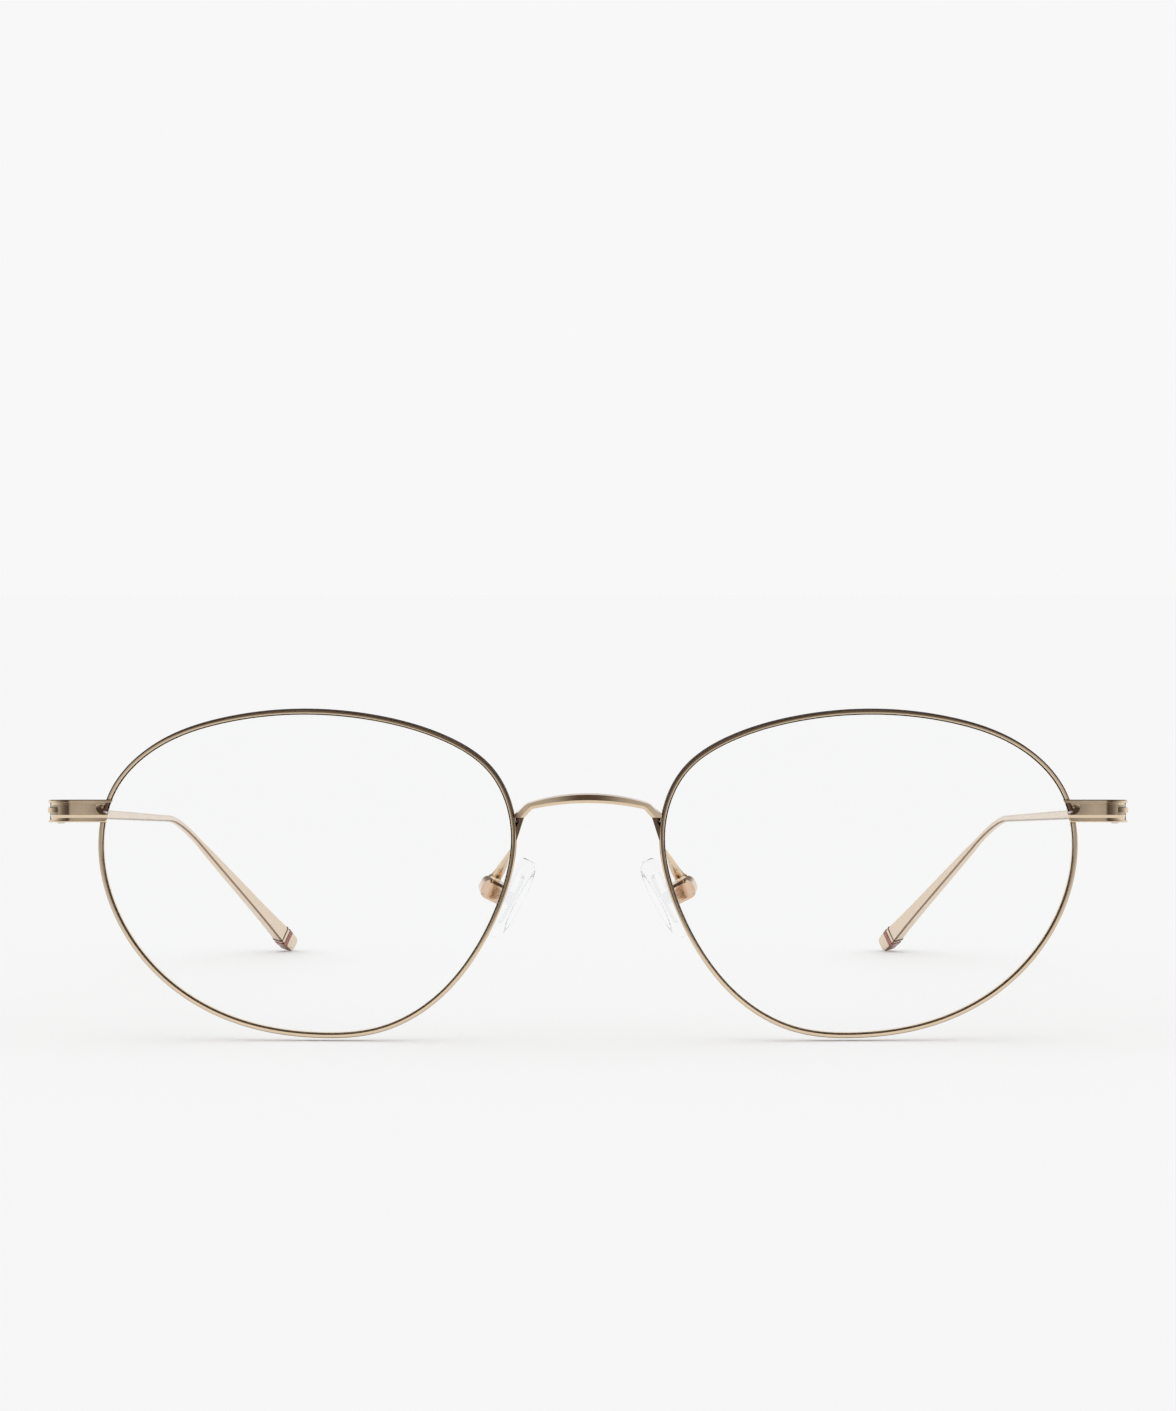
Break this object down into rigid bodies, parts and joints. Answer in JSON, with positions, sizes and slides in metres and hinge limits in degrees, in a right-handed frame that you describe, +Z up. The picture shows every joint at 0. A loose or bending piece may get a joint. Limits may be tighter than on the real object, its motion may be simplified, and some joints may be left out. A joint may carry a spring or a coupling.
{
  "type": "eyeglasses",
  "caption": "Full-rim metal spectacles with oval lenses, an arched bridge, adjustable nose pads and slim temples that fold on screw hinges.",
  "frame": {"origin": "on the table, under the middle of the whole object's bounding box", "axes": "+Z up, +Y back from the front towards the ear tips, +X to the wearer's left"},
  "size_m": [0.1396, 0.1418, 0.0432],
  "materials": {
    "champagne_metal": "satin plated antique champagne gold",
    "temple_metal": "satin plated pale champagne",
    "rose_metal": "polished rose gold plating",
    "steel": "bright small screws",
    "washer": "matte nylon",
    "tip_ring": "reddish brown enamel",
    "clear_lens": "clear, coated",
    "pad_silicone": "water-clear silicone",
    "pad_core": "clear stiff plastic"
  },
  "bodies": {
    "front": {"bridge": "champagne_metal", "left_rim": "champagne_metal", "left_lens": "clear_lens", "left_end_piece": "champagne_metal", "left_rim_lock_upper": "champagne_metal", "left_rim_lock_lower": "champagne_metal", "left_rim_lock_screw": "steel", "left_hinge_screw": "steel", "left_hinge_washers": "washer", "left_pad_arm": "champagne_metal", "left_pad_box": "rose_metal", "left_pad_screw": "steel", "right_rim": "champagne_metal", "right_lens": "clear_lens", "right_end_piece": "champagne_metal", "right_rim_lock_upper": "champagne_metal", "right_rim_lock_lower": "champagne_metal", "right_rim_lock_screw": "steel", "right_hinge_screw": "steel", "right_hinge_washers": "washer", "right_pad_arm": "champagne_metal", "right_pad_box": "rose_metal", "right_pad_screw": "steel"},
    "left_temple_arm": {"left_temple": "temple_metal", "left_temple_knuckle": "champagne_metal", "left_tip_ring": "tip_ring", "left_tip_cap": "champagne_metal"},
    "left_pad": {"left_nose_pad": "pad_silicone", "left_pad_core": "pad_core"},
    "right_temple_arm": {"right_temple": "temple_metal", "right_temple_knuckle": "champagne_metal", "right_tip_ring": "tip_ring", "right_tip_cap": "champagne_metal"},
    "right_pad": {"right_nose_pad": "pad_silicone", "right_pad_core": "pad_core"}
  },
  "joints": [
    {"name": "left_temple_fold", "type": "hinge", "parent": "front", "child": "left_temple_arm", "pos_m": [0.0681, -0.06453, 0.02954], "axis": [0, 0.0682, 0.9977], "range_deg": [0, 80]},
    {"name": "right_temple_fold", "type": "hinge", "parent": "front", "child": "right_temple_arm", "pos_m": [-0.0681, -0.06453, 0.02954], "axis": [0, -0.0682, -0.9977], "range_deg": [0, 68]},
    {"name": "left_pad_rock", "type": "hinge", "parent": "front", "child": "left_pad", "pos_m": [0.01205, -0.06286, 0.01911], "axis": [0.1233, 0.9831, 0.1351], "range_deg": [-8, 8]},
    {"name": "right_pad_rock", "type": "hinge", "parent": "front", "child": "right_pad", "pos_m": [-0.01205, -0.06286, 0.01911], "axis": [0.1233, -0.9831, -0.1351], "range_deg": [-8, 8]}
  ]
}
